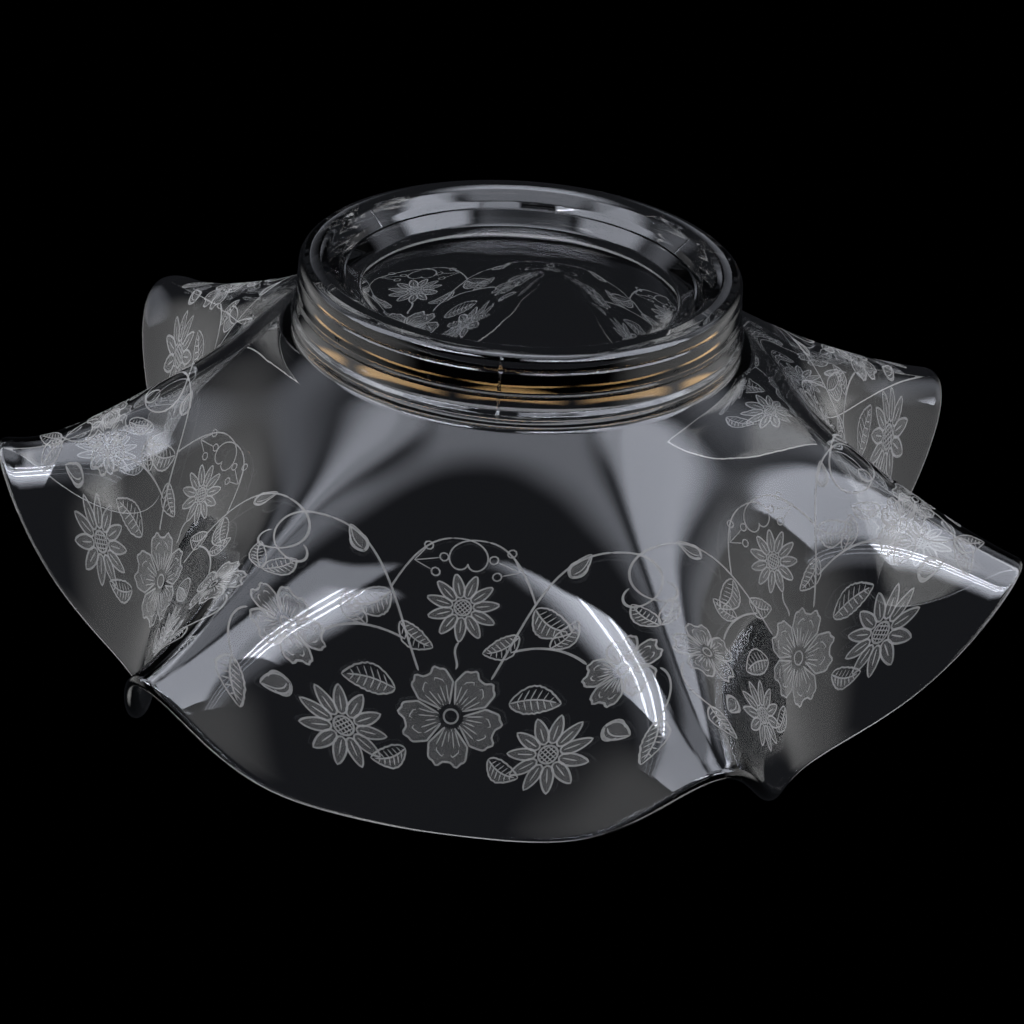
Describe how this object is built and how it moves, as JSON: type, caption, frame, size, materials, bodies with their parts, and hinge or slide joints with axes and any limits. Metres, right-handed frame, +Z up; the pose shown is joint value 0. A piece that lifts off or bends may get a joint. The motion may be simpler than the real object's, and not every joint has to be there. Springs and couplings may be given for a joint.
{
  "type": "centerpiece bowl",
  "caption": "Wide flared bowl of clear pressed glass on a low ring foot, with a crimped rim and frosted flower sprays on its panels.",
  "frame": {"origin": "centre of the foot in the plane that the foot ring rests on, within 2 mm of the middle of the bowl's outline seen from above", "axes": "+Z up along the bowl's axis towards the open mouth; -Y is the side nearest the camera in the picture, where a raised panel faces forwards"},
  "size_m": [0.3065, 0.2901, 0.1152],
  "materials": {
    "glass": "clear, fire-polished"
  },
  "bodies": {
    "root": {"bowl": "glass"}
  },
  "joints": []
}
